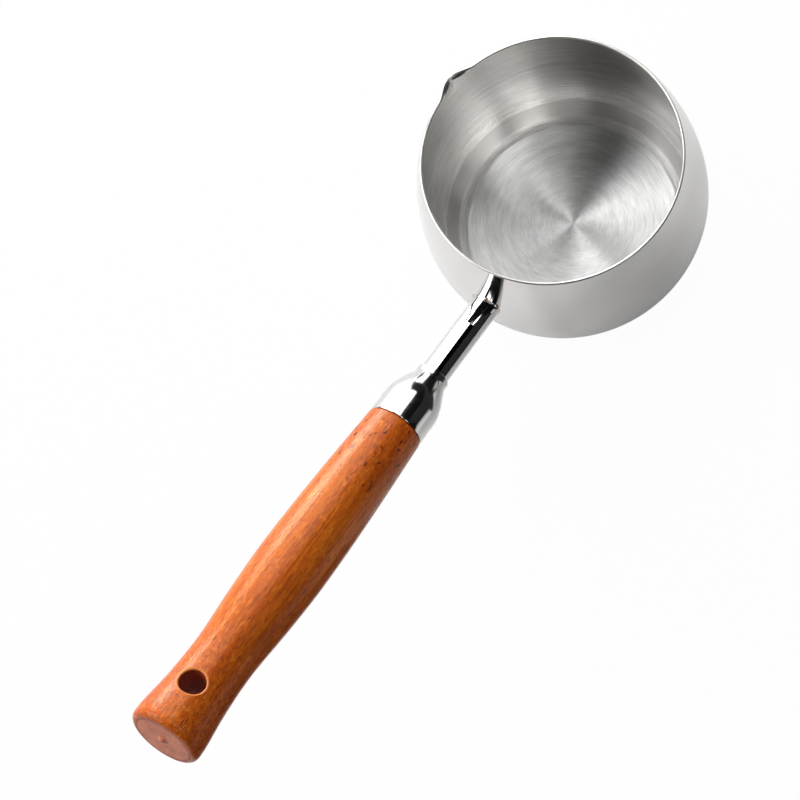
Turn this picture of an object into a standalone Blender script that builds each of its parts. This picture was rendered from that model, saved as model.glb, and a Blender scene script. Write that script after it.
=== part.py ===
"""Hot oil pot: a small bellied steel pot with a pinched pouring lip and a turned wooden handle.

The pot's axis is +Z and its flat base stands on z = 0. The handle leaves the wall towards +X and
rises. Distances "along" run up the handle's axis from the point where it crosses the pot's axis.
"""
import math

import bmesh
import bpy
from mathutils import Vector

# Pot, metres
MOUTH_RADIUS = 0.0450
BELLY_SWELL = 0.0047
FOOT_DRAW_IN = 0.0080
POT_HEIGHT = 0.0630
BELLY_HEIGHT = 0.0290
WALL = 0.0010
BASE_THICKNESS = 0.0020
FOOT_FILLET = 0.0020
FLOOR_FILLET = 0.0014

# Pouring lip, pinched out of the wall
LIP_ANGLE = math.radians(-100.4)
LIP_HALF_WIDTH = 0.0094
LIP_REACH = 0.0029
LIP_DEPTH = 0.0120
LIP_DROP = 0.0005
LIP_FALL_POWER = 1.4
LIP_SECTOR = 2.3

# Handle axis
AXIS_HEIGHT = 0.0258
AXIS_RISE = math.radians(14)

# Tubular stem and the fillet weld at the pot's wall
STEM_RADIUS = 0.0050
STEM_WALL = 0.0008
STEM_LENGTH = 0.0396
WELD_LEG = 0.0012
WELD_HOLLOW = 0.85

# Threaded joint inside the handle
PLUG_LENGTH = 0.0120
STUD_RADIUS = 0.0025
STUD_LENGTH = 0.0500
STUD_POINT = 0.0040
STUD_CHAMFER = 0.0005
WASHER_THICKNESS = 0.0010
WASHER_ROOM = 0.0007

# Ferrule drawn from sheet
FERRULE_SHEET = 0.0006
FERRULE_OVER_STEM = 0.0065
FERRULE_RADIUS = 0.0100
NECK_LENGTH = 0.0022
DOME_LENGTH = 0.0128
DOME_FULLNESS = 1.2
SKIRT_LENGTH = 0.0089
SKIRT_FLARE = 0.0001
CRIMP_LENGTH = 0.0011
CRIMP_DEPTH = 0.0002

# Turned wooden grip: each station is (share of the grip's length, radius)
GRIP_LENGTH = 0.1370
GRIP_PROUD = 0.00005
GRIP_STATIONS = (
    (0.00, FERRULE_RADIUS + SKIRT_FLARE + GRIP_PROUD),
    (0.22, 0.01165),
    (0.44, 0.01245),
    (0.59, 0.01190),
    (0.74, 0.01080),
    (0.86, 0.01145),
    (0.96, 0.01285),
    (1.00, 0.01285),
)
GRIP_END_ROUNDING = 0.0024
DIMPLE_RADIUS = 0.0021
DIMPLE_DEPTH = 0.0009
HANG_HOLE_RADIUS = 0.0046
HANG_HOLE_FROM_END = 0.0182
HANG_HOLE_EASE = 0.0008
HANG_HOLE_OVERCUT = 0.25

# Clearance between neighbouring pieces
SEAT = 0.0003

# Facets
POT_STEPS = 64
LIP_STEPS = 22
STEM_STEPS = 32
STUD_STEPS = 16
GRIP_STEPS = 44
HOLE_STEPS = 32
DOME_STATIONS = 10
GRIP_RINGS = 27
HALVINGS = 40
SHARP_ANGLE = math.radians(35)
WELD_TOLERANCE = 1e-6


def arc_radius(height, inset):
    """Radius of the arc that stands upright at the belly and is inset by so much at this height."""
    return (height ** 2 + inset ** 2) / (2 * inset)


BELLY_RADIUS = MOUTH_RADIUS + BELLY_SWELL
UPPER_ARC = arc_radius(POT_HEIGHT - BELLY_HEIGHT, BELLY_SWELL)
LOWER_ARC = arc_radius(BELLY_HEIGHT, BELLY_SWELL + FOOT_DRAW_IN)


def wall_radius(z, offset=0.0):
    """Radius of the pot's outer wall at height z, moved outwards by offset along its normal."""
    arc = UPPER_ARC if z >= BELLY_HEIGHT else LOWER_ARC
    rise = z - BELLY_HEIGHT
    return BELLY_RADIUS - arc + math.copysign(math.sqrt((arc + offset) ** 2 - rise ** 2), arc)


def wall_reach(x, y):
    """Distance along the handle axis at which a line parallel to it leaves the pot's wall.

    x and y are the line's offsets across the axis, y level and x downwards.
    """
    near, far = 0.0, 2 * BELLY_RADIUS
    for _ in range(HALVINGS):
        middle = (near + far) / 2
        world_x = middle * math.cos(AXIS_RISE) + x * math.sin(AXIS_RISE)
        world_z = AXIS_HEIGHT + middle * math.sin(AXIS_RISE) - x * math.cos(AXIS_RISE)
        height = min(max(world_z, 0.0), POT_HEIGHT)
        if math.hypot(world_x, y) < wall_radius(height):
            near = middle
        else:
            far = middle
    return far


# Places along the handle's axis
STEM_END = wall_reach(0.0, 0.0) + STEM_LENGTH
PLUG_START = STEM_END - PLUG_LENGTH
STUD_END = PLUG_START + STUD_LENGTH
WASHER_START = STEM_END + SEAT
SPIGOT_START = WASHER_START + WASHER_THICKNESS + SEAT
FERRULE_START = STEM_END - FERRULE_OVER_STEM
DOME_START = FERRULE_START + NECK_LENGTH
SKIRT_START = DOME_START + DOME_LENGTH
FERRULE_END = SKIRT_START + SKIRT_LENGTH
CRIMP_START = FERRULE_END - CRIMP_LENGTH
GRIP_START = FERRULE_END + SEAT
GRIP_END = GRIP_START + GRIP_LENGTH
HANG_HOLE_PLACE = GRIP_END - HANG_HOLE_FROM_END


def spread(start, stop, count):
    """Evenly spaced values from start to stop, both included."""
    return [start + (stop - start) * i / (count - 1) for i in range(count)]


def new_material(name, colour, roughness, metallic):
    material = bpy.data.materials.new(name)
    material.use_nodes = True
    shader = material.node_tree.nodes["Principled BSDF"]
    shader.inputs["Base Color"].default_value = (*colour, 1.0)
    shader.inputs["Roughness"].default_value = roughness
    shader.inputs["Metallic"].default_value = metallic
    return material


def finish_object(name, bm, material, parent=None):
    """Turn a bmesh into a named, smooth-shaded object with outward faces."""
    bmesh.ops.remove_doubles(bm, verts=bm.verts, dist=WELD_TOLERANCE)
    bmesh.ops.recalc_face_normals(bm, faces=bm.faces)
    mesh = bpy.data.meshes.new(name)
    bm.to_mesh(mesh)
    bm.free()
    mesh.shade_smooth()
    mesh.set_sharp_from_angle(angle=SHARP_ANGLE)
    if material:
        mesh.materials.append(material)
    obj = bpy.data.objects.new(name, mesh)
    bpy.context.collection.objects.link(obj)
    obj.parent = parent
    return obj


def turned(profile, steps, closed):
    """Spin a profile of (radius, height) points once round the Z axis.

    A closed profile makes a ring. An open one starts and ends on the axis.
    """
    bm = bmesh.new()
    verts = [bm.verts.new((radius, 0.0, height)) for radius, height in profile]
    edges = [bm.edges.new(pair) for pair in zip(verts, verts[1:])]
    if closed:
        edges.append(bm.edges.new((verts[-1], verts[0])))
    bmesh.ops.spin(bm, geom=verts + edges, cent=(0, 0, 0), axis=(0, 0, 1),
                   angle=2 * math.pi, steps=steps, use_merge=True)
    return bm


def fillet_points(floor, fillet, offset, count):
    """Fillet from a level floor up to the lower wall, which is moved outwards by offset."""
    arc_centre = BELLY_RADIUS - LOWER_ARC
    centre_z = floor + fillet
    centre_x = arc_centre + math.sqrt((LOWER_ARC + offset - fillet) ** 2
                                      - (BELLY_HEIGHT - centre_z) ** 2)
    end = math.atan2(centre_z - BELLY_HEIGHT, centre_x - arc_centre)
    return [(centre_x + fillet * math.cos(angle), centre_z + fillet * math.sin(angle))
            for angle in spread(-math.pi / 2, end, count)]


def pot_profile():
    """Section of the pot from the centre of the base, over the rim, to the centre of the floor."""
    foot = fillet_points(0.0, FOOT_FILLET, 0.0, 4)
    foot_top = foot[-1][1]
    outside = [(0.0, 0.0), (foot[0][0] / 2, 0.0)] + foot

    edge = WALL / 2
    rim_base = POT_HEIGHT - edge
    lip_base = POT_HEIGHT - LIP_DEPTH
    heights = spread(foot_top, BELLY_HEIGHT, 7)[1:]
    heights += spread(BELLY_HEIGHT, lip_base, 4)[1:]
    heights += spread(lip_base, rim_base, 8)[1:]
    outside += [(wall_radius(z), z) for z in heights]

    rim_centre = wall_radius(rim_base) - edge
    rim = [(rim_centre + edge * math.cos(angle), rim_base + edge * math.sin(angle))
           for angle in spread(0, math.pi, 5)[1:-1]]

    crease = fillet_points(BASE_THICKNESS, FLOOR_FILLET, -WALL, 3)
    above_crease = [z for z in heights if z > crease[-1][1] + WALL]
    inside = [(wall_radius(z, -WALL), z) for z in reversed(above_crease)]
    inside += reversed(crease)
    inside += [(crease[0][0] / 2, BASE_THICKNESS), (0.0, BASE_THICKNESS)]
    return outside + rim + inside


def lip_push(angle, z):
    """How far the pinched lip moves the wall outwards at this angle and height."""
    across = (angle - LIP_ANGLE) * MOUTH_RADIUS / LIP_HALF_WIDTH
    down = (POT_HEIGHT - z) / LIP_DEPTH
    if abs(across) >= 1 or down >= 1:
        return 0.0
    bell = math.cos(across * math.pi / 2) ** 2
    return LIP_REACH * bell * (1 - max(down, 0.0)) ** LIP_FALL_POWER


def build_pot(material):
    """Spin the pot's section, with finer steps where the lip is, then pinch the lip out."""
    bm = bmesh.new()
    sector = LIP_SECTOR * LIP_HALF_WIDTH / MOUTH_RADIUS
    start = LIP_ANGLE + sector / 2
    verts = [bm.verts.new((radius * math.cos(start), radius * math.sin(start), z))
             for radius, z in pot_profile()]
    edges = [bm.edges.new(pair) for pair in zip(verts, verts[1:])]
    geometry = verts + edges
    for sweep, steps in ((2 * math.pi - sector, POT_STEPS), (sector, LIP_STEPS)):
        swept = bmesh.ops.spin(bm, geom=geometry, cent=(0, 0, 0), axis=(0, 0, 1),
                               angle=sweep, steps=steps)
        geometry = swept["geom_last"]
    bmesh.ops.remove_doubles(bm, verts=bm.verts, dist=WELD_TOLERANCE)
    for vert in bm.verts:
        if vert.co.z < POT_HEIGHT - LIP_DEPTH:
            continue
        angle = math.atan2(vert.co.y, vert.co.x)
        push = lip_push(angle, vert.co.z)
        vert.co.x += push * math.cos(angle)
        vert.co.y += push * math.sin(angle)
        vert.co.z -= LIP_DROP * push / LIP_REACH
    return finish_object("pot_body", bm, material)


def build_stem(material, axis):
    """Thin tube whose end at the pot is cut to the curve of the wall."""
    bore = STEM_RADIUS - STEM_WALL
    bm = turned([(STEM_RADIUS, 0.0), (STEM_RADIUS, STEM_END), (bore, STEM_END), (bore, 0.0)],
                STEM_STEPS, closed=True)
    for vert in bm.verts:
        if vert.co.z < STEM_END / 2:
            vert.co.z = wall_reach(vert.co.x, vert.co.y) + SEAT
    return finish_object("stem_tube", bm, material, axis)


def build_weld(material, axis):
    """Hollow fillet of weld metal in the corner between the stem and the pot's wall."""
    inner = STEM_RADIUS + SEAT
    corner = [(inner, SEAT), (inner + WELD_LEG, SEAT)]
    for angle in spread(0, math.pi / 2, 4)[1:-1]:
        corner.append((inner + WELD_LEG * (1 - WELD_HOLLOW * math.sin(angle)),
                       SEAT + WELD_LEG * (1 - WELD_HOLLOW * math.cos(angle))))
    corner.append((inner, SEAT + WELD_LEG))
    bm = turned(corner, STEM_STEPS, closed=True)
    for vert in bm.verts:
        vert.co.z += wall_reach(vert.co.x, vert.co.y)
    return finish_object("stem_weld", bm, material, axis)


def build_plug(material, axis):
    """Threaded plug fixed in the end of the tube."""
    outer = STEM_RADIUS - STEM_WALL - SEAT
    bore = STUD_RADIUS + SEAT
    bm = turned([(outer, PLUG_START), (outer, STEM_END), (bore, STEM_END), (bore, PLUG_START)],
                STEM_STEPS, closed=True)
    return finish_object("stem_plug", bm, material, axis)


def build_stud(material, axis):
    """Stud that screws into the plug at one end and into the wood at the other."""
    profile = [(0.0, PLUG_START), (STUD_RADIUS - STUD_CHAMFER, PLUG_START),
               (STUD_RADIUS, PLUG_START + STUD_CHAMFER), (STUD_RADIUS, STUD_END - STUD_POINT),
               (0.0, STUD_END)]
    return finish_object("hanger_stud", turned(profile, STUD_STEPS, closed=False), material, axis)


def build_washer(material, axis):
    """Washer between the tube's end and the wood's spigot, inside the ferrule."""
    outer = ferrule_radius(WASHER_START) - FERRULE_SHEET - WASHER_ROOM
    bore = STUD_RADIUS + SEAT
    end = WASHER_START + WASHER_THICKNESS
    bm = turned([(outer, WASHER_START), (outer, end), (bore, end), (bore, WASHER_START)],
                STEM_STEPS, closed=True)
    return finish_object("seat_washer", bm, material, axis)


def ferrule_radius(along):
    """Outer radius of the ferrule: straight neck, swelling dome, slightly flared skirt, crimped end."""
    neck = STEM_RADIUS + SEAT + FERRULE_SHEET
    if along <= DOME_START:
        return neck
    if along >= SKIRT_START:
        crimped = min(max((along - CRIMP_START) / CRIMP_LENGTH, 0.0), 1.0)
        flare = SKIRT_FLARE * (along - SKIRT_START) / SKIRT_LENGTH
        return FERRULE_RADIUS + flare - CRIMP_DEPTH * crimped
    share = (along - DOME_START) / DOME_LENGTH
    return neck + (FERRULE_RADIUS - neck) * math.sin(share * math.pi / 2) ** DOME_FULLNESS


def ferrule_stations():
    dome = spread(DOME_START, SKIRT_START, DOME_STATIONS)
    return [FERRULE_START] + dome + [CRIMP_START, FERRULE_END]


def build_ferrule(material, axis):
    """Drawn sheet cap: one wall thick, open at the neck for the stem and at the skirt for the wood."""
    stations = ferrule_stations()
    outside = [(ferrule_radius(along), along) for along in stations]
    inside = [(ferrule_radius(along) - FERRULE_SHEET, along) for along in reversed(stations)]
    bm = turned(outside + inside, GRIP_STEPS, closed=True)
    return finish_object("ferrule", bm, material, axis)


def grip_radius(along):
    """Turned outline of the grip: a smooth cubic through its stations."""
    places = [place for place, radius in GRIP_STATIONS]
    radii = [radius for place, radius in GRIP_STATIONS]
    last = len(places) - 1
    slopes = []
    for i in range(last + 1):
        before, after = max(i - 1, 0), min(i + 1, last)
        slopes.append((radii[after] - radii[before]) / (places[after] - places[before]))
    share = min(max((along - GRIP_START) / GRIP_LENGTH, 0.0), 1.0)
    i = max(k for k in range(last) if places[k] <= share)
    width = places[i + 1] - places[i]
    t = (share - places[i]) / width
    return (radii[i] * (2 * t ** 3 - 3 * t ** 2 + 1)
            + slopes[i] * width * (t ** 3 - 2 * t ** 2 + t)
            + radii[i + 1] * (3 * t ** 2 - 2 * t ** 3)
            + slopes[i + 1] * width * (t ** 3 - t ** 2))


def grip_profile():
    """Section of the wood: drilled spigot under the ferrule, grip, rounded end, centre dimple."""
    bore = STUD_RADIUS + SEAT
    bore_end = STUD_END + SEAT
    under_ferrule = FERRULE_SHEET + SEAT

    section = [(0.0, bore_end + bore), (bore, bore_end), (bore, SPIGOT_START)]
    spigot = [SPIGOT_START] + [s for s in ferrule_stations() if SPIGOT_START < s < FERRULE_END]
    for along in spigot + [GRIP_START]:
        section.append((ferrule_radius(along) - under_ferrule, along))

    for along in spread(GRIP_START, GRIP_END - GRIP_END_ROUNDING, GRIP_RINGS):
        section.append((grip_radius(along), along))
    flat = section[-1][0] - GRIP_END_ROUNDING
    for angle in spread(0, math.pi / 2, 5)[1:]:
        section.append((flat + GRIP_END_ROUNDING * math.cos(angle),
                        GRIP_END - GRIP_END_ROUNDING * (1 - math.sin(angle))))
    section += [(DIMPLE_RADIUS, GRIP_END), (0.0, GRIP_END - DIMPLE_DEPTH)]
    return section


def hang_hole_ring(bm, side, out, lift):
    """Ring of points round the hanging hole that follows the grip's turned surface on one side."""
    ring = []
    radius = HANG_HOLE_RADIUS + out
    for step in range(HOLE_STEPS):
        turn = 2 * math.pi * step / HOLE_STEPS
        along = HANG_HOLE_PLACE + radius * math.cos(turn)
        level = radius * math.sin(turn)
        surface = math.sqrt(grip_radius(along) ** 2 - level ** 2)
        ring.append(bm.verts.new((side * (surface + lift), level, along)))
    return ring


def flat_ring(bm, ring, x):
    """Copy of a ring with all its points at one x, clear of the grip."""
    return [bm.verts.new((x, vert.co.y, vert.co.z)) for vert in ring]


def build_hang_hole_cutter(axis):
    """Bore across the grip whose two mouths are eased all round."""
    ease = HANG_HOLE_EASE
    middle = ease * (1 - math.sqrt(0.5))
    beyond = ease * HANG_HOLE_OVERCUT
    mouth = ((0.0, -ease), (middle, -middle), (ease + beyond, beyond))
    bm = bmesh.new()
    rings = [hang_hole_ring(bm, -1, out, lift) for out, lift in reversed(mouth)]
    rings += [hang_hole_ring(bm, 1, out, lift) for out, lift in mouth]
    clear = 2 * max(radius for place, radius in GRIP_STATIONS)
    rings = [flat_ring(bm, rings[0], -clear)] + rings + [flat_ring(bm, rings[-1], clear)]
    for lower, upper in zip(rings, rings[1:]):
        for step in range(HOLE_STEPS):
            after = (step + 1) % HOLE_STEPS
            bm.faces.new((lower[step], lower[after], upper[after], upper[step]))
    bm.faces.new(rings[0])
    bm.faces.new(rings[-1])
    cutter = finish_object("hang_hole_cutter", bm, None, axis)
    cutter.hide_render = True
    cutter.display_type = "WIRE"
    return cutter


def build_grip(material, axis):
    """Turned wood with its spigot, stud bore and hanging hole."""
    grip = finish_object("wood_handle", turned(grip_profile(), GRIP_STEPS, closed=False),
                         material, axis)
    cut = grip.modifiers.new("hanging hole", "BOOLEAN")
    cut.operation = "DIFFERENCE"
    cut.object = build_hang_hole_cutter(axis)
    return grip


def main():
    for obj in list(bpy.data.objects):
        bpy.data.objects.remove(obj)

    satin_steel = new_material("satin_steel", (0.62, 0.61, 0.60), 0.28, 1.0)
    polished_steel = new_material("polished_steel", (0.72, 0.71, 0.70), 0.08, 1.0)
    zinc_steel = new_material("zinc_steel", (0.50, 0.51, 0.52), 0.35, 1.0)
    red_wood = new_material("red_wood", (0.46, 0.15, 0.05), 0.40, 0.0)

    axis = bpy.data.objects.new("handle_axis", None)
    bpy.context.collection.objects.link(axis)
    axis.location = Vector((0.0, 0.0, AXIS_HEIGHT))
    axis.rotation_euler = (0.0, math.pi / 2 - AXIS_RISE, 0.0)

    build_pot(satin_steel)
    build_weld(polished_steel, axis)
    build_stem(polished_steel, axis)
    build_plug(zinc_steel, axis)
    build_stud(zinc_steel, axis)
    build_washer(zinc_steel, axis)
    build_ferrule(polished_steel, axis)
    build_grip(red_wood, axis)


main()
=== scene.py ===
"""Looks of the hot oil pot: bellied steel pot, pinched lip, steel stem and turned wooden handle.

Metres, +Z up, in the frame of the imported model. Distances "along" run up the handle's axis from
the point where it crosses the pot's axis.
"""
import math

import bmesh
import bpy
from mathutils import Matrix, Vector


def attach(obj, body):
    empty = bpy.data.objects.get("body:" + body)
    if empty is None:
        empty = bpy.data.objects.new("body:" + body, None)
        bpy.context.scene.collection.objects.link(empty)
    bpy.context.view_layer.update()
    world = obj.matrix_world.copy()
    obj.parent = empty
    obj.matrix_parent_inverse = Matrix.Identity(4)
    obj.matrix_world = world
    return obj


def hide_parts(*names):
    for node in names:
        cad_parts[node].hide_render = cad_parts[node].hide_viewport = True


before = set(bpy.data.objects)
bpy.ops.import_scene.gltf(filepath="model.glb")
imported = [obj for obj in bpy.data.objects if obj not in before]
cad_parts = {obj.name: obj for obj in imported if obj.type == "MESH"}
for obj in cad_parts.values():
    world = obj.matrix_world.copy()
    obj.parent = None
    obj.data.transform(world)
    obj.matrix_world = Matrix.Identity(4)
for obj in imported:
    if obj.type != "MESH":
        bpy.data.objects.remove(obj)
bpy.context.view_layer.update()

# Pot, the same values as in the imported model
MOUTH_RADIUS = 0.0450
BELLY_SWELL = 0.0047
FOOT_DRAW_IN = 0.0080
POT_HEIGHT = 0.0630
BELLY_HEIGHT = 0.0290
WALL = 0.0010
BASE_THICKNESS = 0.0020
FOOT_FILLET = 0.0020
FLOOR_FILLET = 0.0020

# Pouring lip: a crisp fold below the rim that opens into a rounder mouth at the rim
LIP_ANGLE = math.radians(-100.4)
LIP_HALF_WIDTH = 0.0094
LIP_REACH = 0.0022
LIP_FLARE = 0.0007
LIP_FLARE_DEPTH = 0.0016
LIP_DEPTH = 0.0120
LIP_DROP = 0.0005
LIP_FALL_POWER = 1.2
LIP_FOLD_POWER = 2.4
LIP_FOLD_SOFTNESS = 0.05

# Handle axis, stem and weld
AXIS_HEIGHT = 0.0258
AXIS_RISE = math.radians(14)
STEM_RADIUS = 0.0050
STEM_WALL = 0.0008
STEM_LENGTH = 0.0396
STEM_SINK = 0.0003
PLUG_LENGTH = 0.0120
STUD_RADIUS = 0.0025
STUD_LENGTH = 0.0500
WASHER_THICKNESS = 0.0010
BEAD_RADIUS = 0.00034
BEAD_OUT = 0.0001

# Unevenness of the weld: ripples as (share of the radius, how many, phase), and lumps as
# (angle, half width as an angle, height)
BEAD_RIPPLES = ((0.10, 9, 0.0), (0.07, 23, 1.0))
BEAD_LUMPS = ((math.radians(122), math.radians(9), 0.00050),
              (math.radians(174), math.radians(6), 0.00022),
              (math.radians(250), math.radians(14), 0.00018),
              (math.radians(20), math.radians(12), 0.00024))

# Ferrule
FERRULE_SHEET = 0.0006
FERRULE_OVER_STEM = 0.0065
FERRULE_RADIUS = 0.0100
NECK_LENGTH = 0.0022
DOME_LENGTH = 0.0128
DOME_FULLNESS = 1.2
SKIRT_LENGTH = 0.0089
SKIRT_FLARE = 0.0001
CRIMP_LENGTH = 0.0011
CRIMP_DEPTH = 0.0001
CRIMP_EDGE = 0.00008
NECK_CLEARANCE = 0.00004
EDGE_ROUNDING = 0.00022

# Turned wooden grip, each station as (share of the grip's length, radius), and the low nub that
# the lathe's centre left on its end
GRIP_LENGTH = 0.1370
GRIP_PROUD = 0.00005
GRIP_STATIONS = (
    (0.00, FERRULE_RADIUS + SKIRT_FLARE + GRIP_PROUD),
    (0.22, 0.01165),
    (0.44, 0.01245),
    (0.59, 0.01190),
    (0.74, 0.01080),
    (0.86, 0.01145),
    (0.96, 0.01285),
    (1.00, 0.01285),
)
GRIP_SHOULDER = 0.0005
GRIP_END_ROUNDING = 0.0024
MARK_RADIUS = 0.0024
MARK_HEIGHT = 0.0009
MARK_MARGIN = 1.1
HANG_HOLE_RADIUS = 0.0046
HANG_HOLE_FROM_END = 0.0182
HANG_HOLE_EASE = 0.0008
SEAT = 0.0003

# Facets: how many steps or rows each stretch of a surface has
POT_STEPS = 168
LIP_STEPS = 120
FOOT_STEPS = 10
CREASE_STEPS = 8
LOWER_ROWS = 22
UPPER_ROWS = 16
LIP_ROWS = 14
FLARE_ROWS = 9
RIM_STEPS = 10
FLOOR_ROWS = 16
ROUND_STEPS = 96
STEM_ROWS = 12
BEAD_STEPS = 14
WELD_STEPS = 3 * ROUND_STEPS
EDGE_STEPS = 5
NECK_ROWS = 5
DOME_ROWS = 40
SKIRT_ROWS = 8
CRIMP_ROWS = 4
CAP_INSIDE_ROWS = 10
SPIGOT_ROWS = 8
SHOULDER_STEPS = 6
GRIP_ROWS = 64
TAIL_ROWS = 8
END_ROUNDING_STEPS = 10
END_ROWS = 8
MARK_ROWS = 13

# Sector with the finer steps of the lip, in half widths of the lip, rings of the base as shares of
# its radius, and the power that crowds the dome's rows towards its neck
LIP_SECTOR = 2.3
BASE_RINGS = (0.3, 0.6, 0.85, 0.97)
DOME_CROWDING = 1.6

# Even cells round the hanging hole, the shares of the way from their edge to its mouth, and steps
GRIP_CELL = 0.0007
WINDOW_CELLS = 20
MOUTH_SHARES = (0.3, 0.58, 0.82, 1.0)
MOUTH_STEPS = 8
BORE_ROWS = 13

# Steps of the search for the wall, the least angle of a sharp edge, and the gap of merged points
HALVINGS = 40
SHARP_ANGLE = math.radians(38)
WELD_TOLERANCE = 1e-7

# Camera, placed and turned as the photograph shows the rim, floor and handle
CAMERA_PLACE = (0.392145, 0.438431, 1.462436)
CAMERA_TURN = (18.7753, 8.8220, 121.8494)
CAMERA_LENS = 202.5
CAMERA_SENSOR = 36.0


def arc_radius(height, inset):
    """Radius of an arc that is upright at the belly and inset by so much at this height."""
    return (height ** 2 + inset ** 2) / (2 * inset)


BELLY_RADIUS = MOUTH_RADIUS + BELLY_SWELL
UPPER_ARC = arc_radius(POT_HEIGHT - BELLY_HEIGHT, BELLY_SWELL)
LOWER_ARC = arc_radius(BELLY_HEIGHT, BELLY_SWELL + FOOT_DRAW_IN)


def wall_radius(z, offset=0.0):
    """Radius of the pot's outer wall at height z, moved outwards by offset along its normal."""
    arc = UPPER_ARC if z >= BELLY_HEIGHT else LOWER_ARC
    rise = z - BELLY_HEIGHT
    return BELLY_RADIUS - arc + math.sqrt((arc + offset) ** 2 - rise ** 2)


def wall_reach(x, y):
    """Distance along the handle axis at which a line parallel to it leaves the pot's wall."""
    near, far = 0.0, 2 * BELLY_RADIUS
    for _ in range(HALVINGS):
        middle = (near + far) / 2
        world_x = middle * math.cos(AXIS_RISE) + x * math.sin(AXIS_RISE)
        world_z = AXIS_HEIGHT + middle * math.sin(AXIS_RISE) - x * math.cos(AXIS_RISE)
        if math.hypot(world_x, y) < wall_radius(min(max(world_z, 0.0), POT_HEIGHT)):
            near = middle
        else:
            far = middle
    return far


# Places along the handle's axis
STEM_END = wall_reach(0.0, 0.0) + STEM_LENGTH
STUD_END = STEM_END - PLUG_LENGTH + STUD_LENGTH
SPIGOT_START = STEM_END + WASHER_THICKNESS + 2 * SEAT
FERRULE_START = STEM_END - FERRULE_OVER_STEM
DOME_START = FERRULE_START + NECK_LENGTH
SKIRT_START = DOME_START + DOME_LENGTH
FERRULE_END = SKIRT_START + SKIRT_LENGTH
CRIMP_START = FERRULE_END - CRIMP_LENGTH
GRIP_START = FERRULE_END + SEAT
GRIP_END = GRIP_START + GRIP_LENGTH
HANG_HOLE_PLACE = GRIP_END - HANG_HOLE_FROM_END

HANDLE_MATRIX = (Matrix.Translation((0.0, 0.0, AXIS_HEIGHT))
                 @ Matrix.Rotation(math.pi / 2 - AXIS_RISE, 4, "Y"))


def spread(start, stop, count):
    """Evenly spaced values from start to stop, both included."""
    return [start + (stop - start) * i / (count - 1) for i in range(count)]


def smooth(t):
    """Smooth step from 0 to 1, level at both ends."""
    t = min(max(t, 0.0), 1.0)
    return t * t * (3 - 2 * t)


def arc_points(centre, radius, start, end, count):
    """Points on an arc of a section, both ends included."""
    return [(centre[0] + radius * math.cos(angle), centre[1] + radius * math.sin(angle))
            for angle in spread(start, end, count)]


def eased_edge(radius, along, size, side, angles):
    """Points of a rounded edge; side is 1 where the piece starts and -1 where it ends."""
    return [(radius - size * (1 - math.cos(angle)), along + side * size * (1 - math.sin(angle)))
            for angle in angles]


def finish_piece(name, bm, materials, replaced, matrix=None):
    """Make a smooth-shaded object that rides on the part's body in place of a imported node."""
    bmesh.ops.remove_doubles(bm, verts=bm.verts, dist=WELD_TOLERANCE)
    bmesh.ops.recalc_face_normals(bm, faces=bm.faces)
    mesh = bpy.data.meshes.new(name)
    bm.to_mesh(mesh)
    bm.free()
    mesh.shade_smooth()
    mesh.set_sharp_from_angle(angle=SHARP_ANGLE)
    for material in materials:
        mesh.materials.append(material)
    if matrix:
        mesh.transform(matrix)
    piece = bpy.data.objects.new(name, mesh)
    bpy.context.scene.collection.objects.link(piece)
    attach(piece, "root")
    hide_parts(replaced)


def skin(bm, low, high, count, zone=0, open_cells=()):
    """Faces between two rows of vertices, of which one may be a single vertex on the axis."""
    for i in range(count):
        if i in open_cells:
            continue
        j = (i + 1) % count
        corners = (low[i % len(low)], high[i % len(high)],
                   high[j % len(high)], low[j % len(low)])
        face = bm.faces.new(list(dict.fromkeys(corners)))
        face.material_index = zone


def lathe(section, angles, ring=False, place=None, zones=None):
    """Spin a section of (radius, height) points through the angles about +Z.

    place bends a point (angle, radius, height) to its own radius and height. zones give the
    material index of the faces that end at each point.
    """
    bm = bmesh.new()
    rows = []
    for radius, height in section:
        if radius == 0.0:
            rows.append([bm.verts.new((0.0, 0.0, height))])
            continue
        row = []
        for angle in angles:
            r, z = place(angle, radius, height) if place else (radius, height)
            row.append(bm.verts.new((r * math.cos(angle), r * math.sin(angle), z)))
        rows.append(row)
    pairs = list(zip(rows, rows[1:]))
    if ring:
        pairs.append((rows[-1], rows[0]))
    for strip, (low, high) in enumerate(pairs):
        skin(bm, low, high, len(angles), zones[strip + 1] if zones else 0)
    return bm


def turn(steps):
    """Even angles of a full turn."""
    return [2 * math.pi * i / steps for i in range(steps)]


def fillet_points(floor, fillet, offset, count):
    """Fillet from a level floor up to the lower wall, which is moved outwards by offset."""
    arc_centre = BELLY_RADIUS - LOWER_ARC
    centre_z = floor + fillet
    centre_x = arc_centre + math.sqrt((LOWER_ARC + offset - fillet) ** 2
                                      - (BELLY_HEIGHT - centre_z) ** 2)
    end = math.atan2(centre_z - BELLY_HEIGHT, centre_x - arc_centre)
    return arc_points((centre_x, centre_z), fillet, -math.pi / 2, end, count)


# Places of the pot's four materials
OUTSIDE, RIM, INSIDE, FLOOR = range(4)


def wall_heights(foot_top, rim_base):
    """Heights of the rows of the wall, above its foot and up to its rim."""
    lip_base = POT_HEIGHT - LIP_DEPTH
    flare_base = POT_HEIGHT - LIP_FLARE_DEPTH
    heights = spread(foot_top, BELLY_HEIGHT, LOWER_ROWS)[1:]
    heights += spread(BELLY_HEIGHT, lip_base, UPPER_ROWS)[1:]
    heights += spread(lip_base, flare_base, LIP_ROWS)[1:]
    return heights + spread(flare_base, rim_base, FLARE_ROWS)[1:]


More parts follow.
